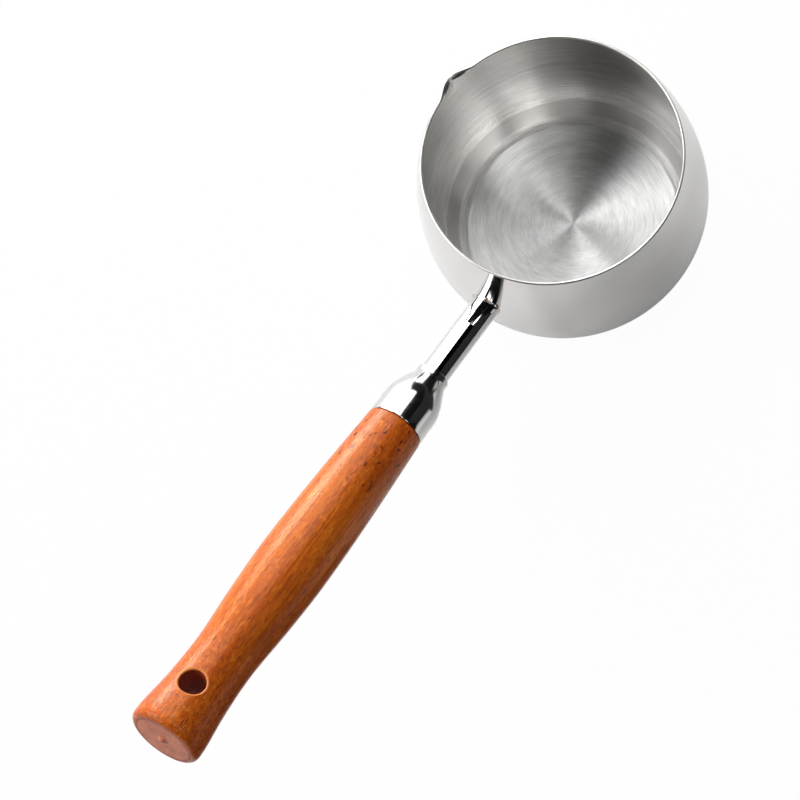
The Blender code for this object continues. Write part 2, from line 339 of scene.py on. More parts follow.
def pot_section():
    """Section from the base's centre, over the rim, to the floor's centre, with its zones."""
    edge = WALL / 2
    rim_base = POT_HEIGHT - edge
    foot = fillet_points(0.0, FOOT_FILLET, 0.0, FOOT_STEPS)
    heights = wall_heights(foot[-1][1], rim_base)
    outside = [(0.0, 0.0)] + [(foot[0][0] * share, 0.0) for share in BASE_RINGS] + foot
    outside += [(wall_radius(z), z) for z in heights]
    rim_centre = (wall_radius(rim_base) - edge, rim_base)
    rim = arc_points(rim_centre, edge, 0.0, math.pi, RIM_STEPS + 1)[1:-1]
    crease = fillet_points(BASE_THICKNESS, FLOOR_FILLET, -WALL, CREASE_STEPS)
    above = [z for z in heights if z > crease[-1][1] + WALL]
    inside = [(wall_radius(z, -WALL), z) for z in reversed(above)] + crease[:0:-1]
    floor = [(radius, BASE_THICKNESS) for radius in spread(crease[0][0], 0.0, FLOOR_ROWS)]
    zones = ([OUTSIDE] * len(outside) + [RIM] * (len(rim) + 1)
             + [INSIDE] * (len(inside) - 1) + [FLOOR] * len(floor))
    return outside + rim + inside + floor, zones


def lip_push(angle, z):
    """How far the pinched lip moves the wall outwards at this angle and height."""
    across = abs(angle - LIP_ANGLE) * MOUTH_RADIUS / LIP_HALF_WIDTH
    down = max((POT_HEIGHT - z) / LIP_DEPTH, 0.0)
    if across >= 1 or down >= 1:
        return 0.0
    bell = math.cos(across * math.pi / 2) ** 2
    soft = LIP_FOLD_SOFTNESS
    folded = (math.hypot(across, soft) - soft) / (math.hypot(1, soft) - soft)
    fold = (1 - folded) ** LIP_FOLD_POWER
    open_top = smooth(1 - (POT_HEIGHT - z) / LIP_FLARE_DEPTH)
    shape = fold + (bell - fold) * open_top
    return LIP_REACH * shape * (1 - down) ** LIP_FALL_POWER + LIP_FLARE * bell * open_top


def lip_place(angle, radius, height):
    """Radius and height of a point of the pot, moved with the lip."""
    push = lip_push(angle, height)
    return radius + push, height - LIP_DROP * push / (LIP_REACH + LIP_FLARE)


def build_pot(materials):
    """Deep-drawn pot with its pinched lip."""
    section, zones = pot_section()
    sector = LIP_SECTOR * LIP_HALF_WIDTH / MOUTH_RADIUS
    start = LIP_ANGLE + sector / 2
    angles = spread(start - sector, start, LIP_STEPS + 1)[:-1]
    angles += spread(start, start + 2 * math.pi - sector, POT_STEPS + 1)[:-1]
    bm = lathe(section, angles, place=lip_place, zones=zones)
    finish_piece("pot", bm, materials, "pot_body")


def build_stem(material):
    """Polished tube whose end at the pot follows the curve of the wall."""
    bore = STEM_RADIUS - STEM_WALL
    section = [(STEM_RADIUS, along) for along in spread(0.0, STEM_END, STEM_ROWS)]
    section += [(bore, STEM_END), (bore, 0.0)]

    def place(angle, radius, along):
        """Stretch the tube between its straight end and the wall at this angle."""
        reach = wall_reach(radius * math.cos(angle), radius * math.sin(angle)) - STEM_SINK
        share = along / STEM_END
        return radius, reach + (STEM_END - reach) * share

    bm = lathe(section, turn(ROUND_STEPS), ring=True, place=place)
    finish_piece("stem", bm, [material], "stem_tube", HANDLE_MATRIX)


def bead_radius(angle):
    """Radius of the weld bead at this angle: thin, with a few lumps where the welder stopped."""
    ripple = 1.0
    for share, waves, phase in BEAD_RIPPLES:
        ripple += share * math.sin(waves * angle + phase)
    radius = BEAD_RADIUS * ripple
    for place, width, height in BEAD_LUMPS:
        radius += height * math.exp(-((angle - place) / width) ** 2)
    return radius


def build_weld(material):
    """Thin bead of weld round the stem, on the curve of the pot's wall."""
    section = [(math.cos(a), math.sin(a)) for a in turn(BEAD_STEPS)]
    centre = STEM_RADIUS + BEAD_OUT

    def place(angle, radius, height):
        """Put the bead's unit circle round the stem, on the wall."""
        size = bead_radius(angle)
        r = centre + size * radius
        reach = wall_reach(centre * math.cos(angle), centre * math.sin(angle))
        return r, reach + BEAD_OUT + size * height

    bm = lathe(section, turn(WELD_STEPS), ring=True, place=place)
    finish_piece("weld_bead", bm, [material], "stem_weld", HANDLE_MATRIX)


def ferrule_radius(along):
    """Outer radius of the ferrule: straight neck, swelling dome, flared skirt, crimped end."""
    neck = STEM_RADIUS + SEAT + FERRULE_SHEET
    if along <= DOME_START:
        return neck
    if along >= SKIRT_START:
        crimped = min(max((along - CRIMP_START) / CRIMP_LENGTH, 0.0), 1.0)
        flare = SKIRT_FLARE * (along - SKIRT_START) / SKIRT_LENGTH
        return FERRULE_RADIUS + flare - CRIMP_DEPTH * crimped
    share = (along - DOME_START) / DOME_LENGTH
    return neck + (FERRULE_RADIUS - neck) * math.sin(share * math.pi / 2) ** DOME_FULLNESS


def build_ferrule(material):
    """Drawn sheet cap with a rounded neck edge and a crimped edge at the wood."""
    stations = spread(FERRULE_START + EDGE_ROUNDING, DOME_START, NECK_ROWS)
    stations += [DOME_START + DOME_LENGTH * share ** DOME_CROWDING
                 for share in spread(0.0, 1.0, DOME_ROWS)[1:]]
    stations += spread(SKIRT_START, CRIMP_START, SKIRT_ROWS)[1:]
    stations += [CRIMP_START + CRIMP_EDGE]
    stations += spread(CRIMP_START, FERRULE_END - EDGE_ROUNDING, CRIMP_ROWS)[1:]
    outside = [(ferrule_radius(along), along) for along in stations]
    neck = outside[0][0]
    end = outside[-1][0]
    front = eased_edge(neck, FERRULE_START, EDGE_ROUNDING, 1,
                       spread(math.pi / 2, 0.0, EDGE_STEPS)[:-1])
    back = eased_edge(end, FERRULE_END, EDGE_ROUNDING, -1,
                      spread(0.0, math.pi / 2, EDGE_STEPS)[1:])
    bore = neck - FERRULE_SHEET - SEAT + NECK_CLEARANCE
    inside = [(max(ferrule_radius(along) - FERRULE_SHEET, bore), along)
              for along in spread(FERRULE_END, DOME_START + NECK_LENGTH, CAP_INSIDE_ROWS)]
    inside.append((bore, FERRULE_START))
    bm = lathe(front + outside + back + inside, turn(ROUND_STEPS), ring=True)
    finish_piece("ferrule_cap", bm, [material], "ferrule", HANDLE_MATRIX)


def grip_radius(along):
    """Turned outline of the grip: a smooth cubic through its stations."""
    places, radii = zip(*GRIP_STATIONS)
    last = len(places) - 1
    slopes = []
    for i in range(last + 1):
        before, after = max(i - 1, 0), min(i + 1, last)
        slopes.append((radii[after] - radii[before]) / (places[after] - places[before]))
    share = min(max((along - GRIP_START) / GRIP_LENGTH, 0.0), 1.0)
    i = max(k for k in range(last) if places[k] <= share)
    width = places[i + 1] - places[i]
    t = (share - places[i]) / width
    return (radii[i] * (2 * t ** 3 - 3 * t ** 2 + 1)
            + slopes[i] * width * (t ** 3 - 2 * t ** 2 + t)
            + radii[i + 1] * (3 * t ** 2 - 2 * t ** 3)
            + slopes[i + 1] * width * (t ** 3 - t ** 2))


def grip_front():
    """Section of the wood up to the start of the grip: stud bore, spigot, eased shoulder."""
    bore = STUD_RADIUS + SEAT
    bore_end = STUD_END + SEAT
    section = [(0.0, bore_end + bore), (bore, bore_end), (bore, SPIGOT_START)]
    under = FERRULE_SHEET + SEAT
    for along in spread(SPIGOT_START, FERRULE_END, SPIGOT_ROWS) + [GRIP_START]:
        section.append((ferrule_radius(along) - under, along))
    start = grip_radius(GRIP_START + GRIP_SHOULDER)
    angles = spread(math.pi / 2, 0.0, SHOULDER_STEPS)[:-1]
    return section + eased_edge(start, GRIP_START, GRIP_SHOULDER, 1, angles)


def grip_back():
    """Section of the wood from the start of its end rounding to the lathe centre's mark."""
    rounding = GRIP_END_ROUNDING
    start = GRIP_END - rounding
    flat = grip_radius(start) - rounding
    section = arc_points((flat, start), rounding, 0.0, math.pi / 2, END_ROUNDING_STEPS + 1)[1:]
    section += [(radius, GRIP_END)
                for radius in spread(flat, MARK_RADIUS * MARK_MARGIN, END_ROWS)[1:]]
    for share in spread(1.0, 0.0, MARK_ROWS):
        section.append((MARK_RADIUS * share, GRIP_END + MARK_HEIGHT * smooth(1 - share)))
    return section


def grip_rows():
    """Places along the grip, with even cells round the hanging hole."""
    half = WINDOW_CELLS * GRIP_CELL / 2
    low, high = HANG_HOLE_PLACE - half, HANG_HOLE_PLACE + half
    start = GRIP_START + GRIP_SHOULDER
    stop = GRIP_END - GRIP_END_ROUNDING
    rows = spread(start, low, GRIP_ROWS) + spread(low, high, WINDOW_CELLS + 1)[1:]
    return rows + spread(high, stop, TAIL_ROWS)[1:]


def grip_loop(rows, first_row, first_column):
    """The vertices round a square window of the grip's grid, in order."""
    n = WINDOW_CELLS
    path = [(0, k) for k in range(n)] + [(k, n) for k in range(n)]
    path += [(n, n - k) for k in range(n)] + [(n - k, 0) for k in range(n)]
    return [rows[first_row + r][(first_column + c) % ROUND_STEPS] for r, c in path]


# Places of the grip's three materials
SIDES, BORE, END = range(3)


def ring_between(bm, outer, inner, zone=SIDES):
    """Faces between two closed rows of as many vertices."""
    count = len(outer)
    for i in range(count):
        j = (i + 1) % count
        bm.faces.new((outer[i], outer[j], inner[j], inner[i])).material_index = zone


def hole_mouth(bm, loop, side):
    """Rings from a window of the grid down to the bore, with a rounded edge."""
    window = [(vert.co.y, vert.co.z - HANG_HOLE_PLACE) for vert in loop]
    turns = [math.atan2(z, y) for y, z in window]
    ease = HANG_HOLE_EASE

    def point(level, along, depth=0.0):
        """Vertex at this place on the grip's surface, or so deep below it."""
        surface = math.sqrt(grip_radius(HANG_HOLE_PLACE + along) ** 2 - level ** 2)
        return bm.verts.new((side * (surface - depth), level, HANG_HOLE_PLACE + along))

    previous = loop
    radius = HANG_HOLE_RADIUS + ease
    for share in MOUTH_SHARES:
        row = [point(y + (radius * math.cos(angle) - y) * share,
                     z + (radius * math.sin(angle) - z) * share)
               for (y, z), angle in zip(window, turns)]
        ring_between(bm, previous, row)
        previous = row
    for q in spread(0.0, math.pi / 2, MOUTH_STEPS)[1:]:
        radius = HANG_HOLE_RADIUS + ease * (1 - math.sin(q))
        depth = ease * (1 - math.cos(q))
        row = [point(radius * math.cos(angle), radius * math.sin(angle), depth) for angle in turns]
        ring_between(bm, previous, row)
        previous = row
    return previous


def hanging_hole(bm, rows, first_row, columns):
    """Two eased mouths, at opposite sides of the grip, and the bore between them."""
    down, up = [hole_mouth(bm, grip_loop(rows, first_row, column), side)
                for column, side in zip(columns, (1, -1))]
    up = [min(up, key=lambda v: (v.co.yz - vert.co.yz).length) for vert in down]
    previous = down
    for share in spread(0.0, 1.0, BORE_ROWS)[1:-1]:
        row = [bm.verts.new(a.co.lerp(b.co, share)) for a, b in zip(down, up)]
        ring_between(bm, previous, row, BORE)
        previous = row
    ring_between(bm, previous, up, BORE)


def build_grip(materials):
    """Turned wood: spigot, grip with its eased hanging hole, rounded end with the lathe mark."""
    front, back = grip_front(), grip_back()
    places = grip_rows()
    bm = bmesh.new()
    rows = []
    for radius, along in front + [(grip_radius(a), a) for a in places] + back:
        angles = turn(ROUND_STEPS) if radius else [0.0]
        rows.append([bm.verts.new((radius * math.cos(a), radius * math.sin(a), along))
                     for a in angles])

    half = WINDOW_CELLS * GRIP_CELL / 2
    nearest = min(range(len(places)), key=lambda k: abs(places[k] - HANG_HOLE_PLACE + half))
    first_row = len(front) + nearest
    window_rows = range(first_row, first_row + WINDOW_CELLS)
    columns = (-WINDOW_CELLS // 2, (ROUND_STEPS - WINDOW_CELLS) // 2)
    window_cells = {(column + c) % ROUND_STEPS for column in columns for c in range(WINDOW_CELLS)}
    end_row = len(rows) - len(back) + END_ROUNDING_STEPS - 2
    for r, (low, high) in enumerate(zip(rows, rows[1:])):
        skin(bm, low, high, ROUND_STEPS, END if r >= end_row else SIDES,
             window_cells if r in window_rows else ())
    hanging_hole(bm, rows, first_row, columns)
    finish_piece("grip", bm, materials, "wood_handle", HANDLE_MATRIX)


class Graph:
    """Short calls that add and link the nodes of one material.

    With on_handle, places are measured in the handle's frame: z along it, x across it and down.
    """

    def __init__(self, name, on_handle=False):
        self.on_handle = on_handle
        self.material = bpy.data.materials.new(name)
        self.material.use_nodes = True
        self.tree = self.material.node_tree
        self.shader = self.tree.nodes["Principled BSDF"]

    def put(self, socket, value):
        """Link a socket to this input, or set it to this number or colour."""
        if isinstance(value, bpy.types.NodeSocket):
            self.tree.links.new(value, socket)
        elif hasattr(socket.default_value, "__len__") and len(socket.default_value) == 4:
            socket.default_value = (*value, 1.0)
        else:
            socket.default_value = value

    def set(self, **values):
        """Set or link inputs of the shader; underscores stand for spaces."""
        for name, value in values.items():
            self.put(self.shader.inputs[name.replace("_", " ")], value)

    def math(self, operation, *values, clamp=False):
        """Result of a calculation with these values."""
        node = self.tree.nodes.new("ShaderNodeMath")
        node.operation = operation
        node.use_clamp = clamp
        for socket, value in zip(node.inputs, values):
            self.put(socket, value)
        return node.outputs[0]

    def plus(self, first, second):
        return self.math("ADD", first, second)

    def minus(self, first, second):
        return self.math("SUBTRACT", first, second)

    def times(self, first, second):
        return self.math("MULTIPLY", first, second)

    def over(self, first, second):
        return self.math("DIVIDE", first, second)

    def length(self, first, second):
        """Length of a vector that has these two parts."""
        return self.math("SQRT", self.plus(self.times(first, first), self.times(second, second)))

    def ramp(self, value, low, high, out_low=0.0, out_high=1.0):
        """Smooth step of a value from low to high."""
        node = self.tree.nodes.new("ShaderNodeMapRange")
        node.interpolation_type = "SMOOTHSTEP"
        for socket, part in zip(node.inputs, (value, low, high, out_low, out_high)):
            self.put(socket, part)
        return node.outputs[0]

    def mix(self, share, first, second):
        """The first colour with this share of the second over it."""
        node = self.tree.nodes.new("ShaderNodeMix")
        node.data_type = "RGBA"
        for number, value in ((0, share), (6, first), (7, second)):
            self.put(node.inputs[number], value)
        return node.outputs[2]

    def noise(self, vector, scale, detail=2.0, roughness=0.5, distortion=0.0):
        """Soft noise, from about 0.2 to 0.8."""
        node = self.tree.nodes.new("ShaderNodeTexNoise")
        self.put(node.inputs["Vector"], vector)
        self.put(node.inputs["Scale"], scale)
        self.put(node.inputs["Detail"], detail)
        self.put(node.inputs["Roughness"], roughness)
        self.put(node.inputs["Distortion"], distortion)
        return node.outputs["Fac"]

    def point(self):
        """The point on the piece, as a vector."""
        point = self.tree.nodes.new("ShaderNodeTexCoord").outputs["Object"]
        if not self.on_handle:
            return point
        node = self.tree.nodes.new("ShaderNodeMapping")
        node.vector_type = "TEXTURE"
        self.put(node.inputs["Vector"], point)
        self.put(node.inputs["Location"], HANDLE_MATRIX.translation)
        self.put(node.inputs["Rotation"], HANDLE_MATRIX.to_euler())
        return node.outputs[0]

    def place(self):
        """The point on the piece, as x, y and z."""
        split = self.tree.nodes.new("ShaderNodeSeparateXYZ")
        self.put(split.inputs[0], self.point())
        return tuple(split.outputs)

    def vector(self, x, y, z):
        node = self.tree.nodes.new("ShaderNodeCombineXYZ")
        for socket, value in zip(node.inputs, (x, y, z)):
            self.put(socket, value)
        return node.outputs[0]

    def bump(self, height, distance, normal=None):
        """Normal of a surface with this relief, over another relief if there is one."""
        node = self.tree.nodes.new("ShaderNodeBump")
        self.put(node.inputs["Distance"], distance)
        self.put(node.inputs["Height"], height)
        if normal:
            self.put(node.inputs["Normal"], normal)
        return node.outputs[0]

    def round_tangent(self):
        """Direction of brushing that goes round the vertical axis."""
        node = self.tree.nodes.new("ShaderNodeTangent")
        node.direction_type = "RADIAL"
        node.axis = "Z"
        return node.outputs[0]

    def show_mix(self, share, first, second):
        """Show the first shader with this share of the second, in place of the usual shader."""
        mixer = self.tree.nodes.new("ShaderNodeMixShader")
        for socket, value in zip(mixer.inputs, (share, first.outputs[0], second.outputs[0])):
            self.put(socket, value)
        self.put(self.tree.nodes["Material Output"].inputs["Surface"], mixer.outputs[0])


# Least distance from the axis that a direction is worked out for
LEAST_DISTANCE = 1e-5


def around(graph):
    """Distance from the axis, the direction from it as two shares, and the height."""
    x, y, z = graph.place()
    distance = graph.math("MAXIMUM", graph.length(x, y), LEAST_DISTANCE)
    return distance, graph.over(x, distance), graph.over(y, distance), z


def streaks(graph, east, north, across, pattern):
    """Noise in streaks round the axis, without a seam.

    A pattern is how many spots a radian has, a streak's width, detail and roughness.
    """
    spots, width, detail, roughness = pattern
    vector = graph.vector(graph.times(east, spots), graph.times(north, spots),
                          graph.over(across, width))
    return graph.noise(vector, 1.0, detail, roughness)


def shaded(colour, share, most=1.0):
    """The colour, darker or lighter by this share, with no part over the most."""
    return tuple(min(share * part, most) for part in colour)


# Brushed steels: colour, roughness, anisotropy
WALL_LOOK = ((0.78, 0.77, 0.75), 0.19, 0.985)
FLOOR_LOOK = ((0.88, 0.88, 0.87), 0.42, 0.98)
QUARTER_TURN = 0.25

# Streaks of the brushing, how much each counts, and the shades between which they go
FINE_STREAKS = (5.0, 0.00022, 3.0, 0.65)
BROAD_STREAKS = (2.2, 0.0020, 2.0, 0.55)
FINE_CONTRAST = 2.2
BROAD_CONTRAST = 1.0
DARK_STREAK = 0.77
LIGHT_STREAK = 1.21
BRIGHTEST = 0.98
FINE_RELIEF = 0.000010
BROAD_RELIEF = 0.00004


class BrushedSteel(Graph):
    """Steel brushed round the axis: long fine streaks that change up a wall or across a floor."""

    def __init__(self, name, on_wall, look):
        super().__init__(name)
        colour, roughness, self.anisotropy = look
        distance, east, north, height = around(self)
        self.across = height if on_wall else distance
        fine = streaks(self, east, north, self.across, FINE_STREAKS)
        self.broad = streaks(self, east, north, self.across, BROAD_STREAKS)
        tone = self.plus(self.times(self.minus(fine, 0.5), FINE_CONTRAST),
                         self.times(self.minus(self.broad, 0.5), BROAD_CONTRAST))
        share = self.math("ADD", tone, 0.5, clamp=True)
        self.tint = self.mix(share, shaded(colour, DARK_STREAK),
                             shaded(colour, LIGHT_STREAK, BRIGHTEST))
        self.rough = self.ramp(fine, 0.25, 0.75, roughness + 0.05, roughness - 0.04)
        self.relief = self.bump(fine, FINE_RELIEF)

    def finish(self):
        """Set the shader, and give the material."""
        self.set(Base_Color=self.tint, Metallic=1.0, Roughness=self.rough,
                 Anisotropic=self.anisotropy, Anisotropic_Rotation=QUARTER_TURN,
                 Tangent=self.round_tangent(), Normal=self.relief)
        return self.material


# Painted highlight: a bright line down the fold of the lip, standing for the light that the fold
# catches
CREASE_HIGHLIGHT_HALF_WIDTH = 0.0007
CREASE_HIGHLIGHT_LENGTH = 0.0075
CREASE_HIGHLIGHT_NEAR_SIDE = 0.01
CREASE_HIGHLIGHT_COLOUR = (1.0, 1.0, 0.99)
CREASE_HIGHLIGHT_ROUGHNESS = 0.7


def lip_crease_highlight(graph):
    """Share of the painted highlight along the fold of the lip."""
    x, y, z = graph.place()
    cosine, sine = math.cos(LIP_ANGLE), math.sin(LIP_ANGLE)
    beside = graph.math("ABSOLUTE", graph.minus(graph.times(y, cosine), graph.times(x, sine)))
    ahead = graph.plus(graph.times(x, cosine), graph.times(y, sine))
    line = graph.ramp(beside, 0.4 * CREASE_HIGHLIGHT_HALF_WIDTH, CREASE_HIGHLIGHT_HALF_WIDTH, 1.0, 0.0)
    upper = graph.ramp(z, POT_HEIGHT - CREASE_HIGHLIGHT_LENGTH, POT_HEIGHT - 0.5 * CREASE_HIGHLIGHT_LENGTH)
    return graph.times(graph.times(line, upper), graph.ramp(ahead, 0.0, CREASE_HIGHLIGHT_NEAR_SIDE))


# Painted shade: a darker ring on the inner wall just above its corner with the floor: its heights,
# the width of its fading edges, its share and its shade
CORNER_SHADE_HEIGHTS = (0.0050, 0.0092)
CORNER_SHADE_EDGES = (0.0010, 0.0008)
CORNER_SHADE_SHARE = 0.9
CORNER_SHADE_DARKNESS = 0.70

# Added roughness, as (first place, second place, roughness at the first, at the second)
FOOT_ROUGHNESS = (0.0026, 0.0052, 0.28, 0.0)
LOWER_WALL_ROUGHNESS = (0.0070, 0.0160, 0.12, 0.0)
FLOOR_CENTRE_ROUGHNESS = (0.003, 0.018, 0.04, 0.0)


def brushed_wall():
    """Inner wall, with a ring of painted shade above its foot and a painted highlight down the
    fold of the lip.
    """
    graph = BrushedSteel("brushed_wall", True, WALL_LOOK)
    height = graph.across
    low, high = CORNER_SHADE_HEIGHTS
    below, above = CORNER_SHADE_EDGES
    # Painted shade: darker ring on the inner wall above its corner with the floor
    ring = graph.times(graph.ramp(height, low - below, low, 0.0, 1.0),
                       graph.ramp(height, high, high + above, 1.0, 0.0))
    crease_highlight = lip_crease_highlight(graph)
    graph.tint = graph.mix(graph.times(ring, CORNER_SHADE_SHARE), graph.tint,
                           shaded(WALL_LOOK[0], CORNER_SHADE_DARKNESS))
    # Painted highlight: the fold of the lip lightened, and a little rougher, for the light it
    # catches
    graph.tint = graph.mix(crease_highlight, graph.tint, CREASE_HIGHLIGHT_COLOUR)
    graph.rough = graph.plus(graph.rough, graph.ramp(height, *FOOT_ROUGHNESS))
    graph.rough = graph.plus(graph.rough, graph.ramp(height, *LOWER_WALL_ROUGHNESS))
    graph.rough = graph.plus(graph.rough, graph.times(crease_highlight, CREASE_HIGHLIGHT_ROUGHNESS))
    graph.relief = graph.bump(graph.broad, BROAD_RELIEF, graph.relief)
    return graph.finish()


def spun_floor():
    """Floor spun round the axis, a little duller round its centre."""
    graph = BrushedSteel("spun_floor", False, FLOOR_LOOK)
    graph.rough = graph.plus(graph.rough, graph.ramp(graph.across, *FLOOR_CENTRE_ROUGHNESS))
    return graph.finish()


# Polished steels: name, colour, roughness, height of the waves
POLISHED_WALL = ("polished_wall", (0.80, 0.79, 0.78), 0.08, 0.00002)
POLISHED_RIM = ("polished_rim", (0.66, 0.65, 0.63), 0.30, 0.00001)
CHROME = ("chrome", (0.82, 0.82, 0.81), 0.04, 0.00001)
PRESSED_CHROME = ("pressed_chrome", (0.78, 0.78, 0.77), 0.12, 0.00001)

# Last faint lines of the polishing wheel, their shade, and the size of the waves under them
POLISHING_LINES = (3.0, 0.0005, 3.0, 0.6)
POLISHING_SHADE = 0.96
WAVE_SCALE = 60.0


def polished_steel(name, colour, roughness, waviness, on_handle=False):
    """Polished steel with the last faint lines of the wheel and a little waviness."""
    graph = Graph(name, on_handle)
    _, east, north, height = around(graph)
    lines = streaks(graph, east, north, height, POLISHING_LINES)
    waves = graph.noise(graph.point(), WAVE_SCALE, 1.0, 0.5)
    tint = graph.mix(graph.ramp(lines, 0.3, 0.7), shaded(colour, POLISHING_SHADE), colour)
    graph.set(Base_Color=tint, Metallic=1.0,
              Roughness=graph.ramp(lines, 0.3, 0.75, roughness, roughness * 1.5),
              Normal=graph.bump(waves, waviness))
    return graph.material


# Heat tint at lumps of the weld, as (angle, radius of the spot), and the metal's colours
TINT_SPOTS = ((BEAD_LUMPS[0][0], 0.0010), (BEAD_LUMPS[1][0], 0.0006))
WELD_BRIGHT = (0.66, 0.64, 0.61)
WELD_BROWN = (0.20, 0.09, 0.025)


def weld_steel():
    """Bright weld metal with straw and brown heat tint at its lumps."""
    graph = Graph("weld_steel", on_handle=True)
    x, y, _ = graph.place()
    mottle = graph.noise(graph.point(), 1800.0, 2.0, 0.6)
    radius = STEM_RADIUS + BEAD_RADIUS
    tint = 0.0
    for angle, spot in TINT_SPOTS:
        gap = graph.length(graph.minus(x, radius * math.cos(angle)),
                           graph.minus(y, radius * math.sin(angle)))
        tint = graph.math("MAXIMUM", tint, graph.ramp(gap, 0.4 * spot, 1.2 * spot, 1.0, 0.0))
    tinted = graph.times(tint, graph.ramp(mottle, 0.25, 0.5, 0.6, 1.0))
    graph.set(Base_Color=graph.mix(tinted, WELD_BRIGHT, WELD_BROWN), Metallic=1.0,
              Roughness=graph.ramp(mottle, 0.3, 0.7, 0.12, 0.3),
              Normal=graph.bump(mottle, 0.00004))
    return graph.material


ZINC_GREY = (0.50, 0.51, 0.52)
ZINC_STAIN = (0.42, 0.42, 0.40)
ZINC_SPANGLE = (0.62, 0.63, 0.64)


def zinc_steel():
    """Dull zinc plate with its fine spangle, for the hidden joint inside the handle."""
    graph = Graph("zinc_plate", on_handle=True)
    point = graph.point()
    spangle = graph.noise(point, 900.0, 3.0, 0.6)
    stain = graph.noise(point, 160.0, 2.0, 0.5)
    colour = graph.mix(graph.ramp(stain, 0.35, 0.7), ZINC_GREY, ZINC_STAIN)
    colour = graph.mix(graph.ramp(spangle, 0.3, 0.7, 0.0, 0.4), colour, ZINC_SPANGLE)
    graph.set(Base_Color=colour, Metallic=1.0,
              Roughness=graph.ramp(spangle, 0.3, 0.7, 0.28, 0.42),
              Normal=graph.bump(spangle, 0.00001))
    return graph.material


class Wood(Graph):
    """Material on the turned handle, with noise that is stretched along the grain."""

    def __init__(self, name):
        super().__init__(name, on_handle=True)
        self.x, self.y, self.z = self.place()

    def grain(self, width, length, detail, rough, distortion=0.0, shift=0.0):
        """Noise whose spots have this width and length."""
        vector = self.vector(self.over(self.x, width), self.over(self.y, width),
                             self.plus(self.over(self.z, length), shift))
        return self.noise(vector, 1.0, detail, rough, distortion)


# Patterns of the grain: width and length of a spot, detail, roughness, distortion, shift
BANDS = (0.0050, 0.060, 2.0, 0.5, 0.6)
LINES = (0.0008, 0.030, 2.0, 0.55, 0.1, 13.0)
FIBRES = (0.0006, 0.0080, 3.0, 0.6, 0.2, 7.0)
MOTTLE = (0.0012, 0.0024, 2.0, 0.55, 0.3, 3.0)
FLECKS = (0.0006, 0.0015, 2.0, 0.6, 0.2, 5.0)
DARK_STREAKS = (0.00042, 0.0040, 1.0, 0.5, 0.0, 11.0)
PORES = (0.0013, 0.0024, 0.0, 0.5, 0.0, 19.0)
BORE_PITS = (0.0005, 0.0012, 2.0, 0.6)
END_PORES = (0.00045, 0.00045, 2.0, 0.6)
END_CLOUD = (0.0032, 0.0032, 2.0, 0.5, 0.4, 5.0)

# Colours of the sides of the grip
DEEP_BAND = (0.59, 0.106, 0.006)
PALE_BAND = (0.78, 0.185, 0.013)
END_RED = (0.46, 0.068, 0.005)
GOLD_MOTTLE = (0.95, 0.285, 0.030)
BROWN_LINE = (0.36, 0.054, 0.004)
BROWN_FLECK = (0.30, 0.040, 0.004)
BROWN_FIBRE = (0.34, 0.050, 0.004)
DARK_STREAK_BROWN = (0.15, 0.018, 0.002)
PORE_BLACK = (0.055, 0.008, 0.003)
# Painted highlight where the eased edge of the hanging hole catches the light
HOLE_EDGE_HIGHLIGHT = (0.92, 0.34, 0.11)

# Where the middle's look changes into that of the ends, measured from the end that is nearer,
# and where the painted highlight round the hanging hole fades, measured from the hole
FRONT_CHANGE = (0.010, 0.045)
BACK_CHANGE = (0.055, 0.025)
HOLE_HIGHLIGHT_RING = (0.0003, 0.0010)


def red_wood():
    """Oiled reddish hardwood: long grain, soft dark streaks, flecks, a few dark pores, and a
    painted highlight round the hanging hole.
    """
    graph = Wood("red_hardwood")
    bands, lines, fibres, mottle, flecks, darks, pits = [
        graph.grain(*pattern)
        for pattern in (BANDS, LINES, FIBRES, MOTTLE, FLECKS, DARK_STREAKS, PORES)]
    darks = graph.ramp(darks, 0.60, 0.72)
    pits = graph.ramp(pits, 0.745, 0.775)
    front = graph.ramp(graph.z, *(GRIP_START + change for change in FRONT_CHANGE), 1.0, 0.0)
    back = graph.ramp(graph.z, *(GRIP_END - change for change in BACK_CHANGE), 0.0, 1.0)
    ends = graph.math("MAXIMUM", front, back)
    hole = graph.length(graph.y, graph.minus(graph.z, HANG_HOLE_PLACE))
    # Painted highlight round the eased mouth of the hanging hole
    hole_highlight = graph.ramp(hole, *(HANG_HOLE_RADIUS + change for change in HOLE_HIGHLIGHT_RING), 0.65, 0.0)

    def part(pattern, middle, at_ends):
        """Strength of a pattern that differs between the middle and the ends of the grip."""
        return graph.times(pattern, graph.ramp(ends, 0.0, 1.0, middle, at_ends))

    layers = (
        (part(1.0, 0.0, 0.40), END_RED),
        (part(graph.ramp(mottle, 0.46, 0.74), 0.60, 0.55), GOLD_MOTTLE),
        (part(graph.ramp(lines, 0.50, 0.66), 0.60, 0.25), BROWN_LINE),
        (part(graph.ramp(flecks, 0.50, 0.70), 0.45, 0.72), BROWN_FLECK),
        (graph.ramp(fibres, 0.38, 0.70, 0.0, 0.5), BROWN_FIBRE),
        (part(darks, 0.55, 0.85), DARK_STREAK_BROWN),
        (graph.times(pits, graph.ramp(front, 0.0, 1.0, 0.25, 0.95)), PORE_BLACK),
        (hole_highlight, HOLE_EDGE_HIGHLIGHT),
    )
    colour = graph.mix(graph.ramp(bands, 0.3, 0.7), DEEP_BAND, PALE_BAND)
    for share, tone in layers:
        colour = graph.mix(share, colour, tone)
    relief = graph.minus(graph.times(fibres, 0.4), darks)
    graph.set(Base_Color=colour, Roughness=graph.ramp(fibres, 0.3, 0.7, 0.23, 0.33),
              Specular_Tint=(1.0, 0.88, 0.66), IOR=1.42, Normal=graph.bump(relief, 0.00003))
    return graph.material


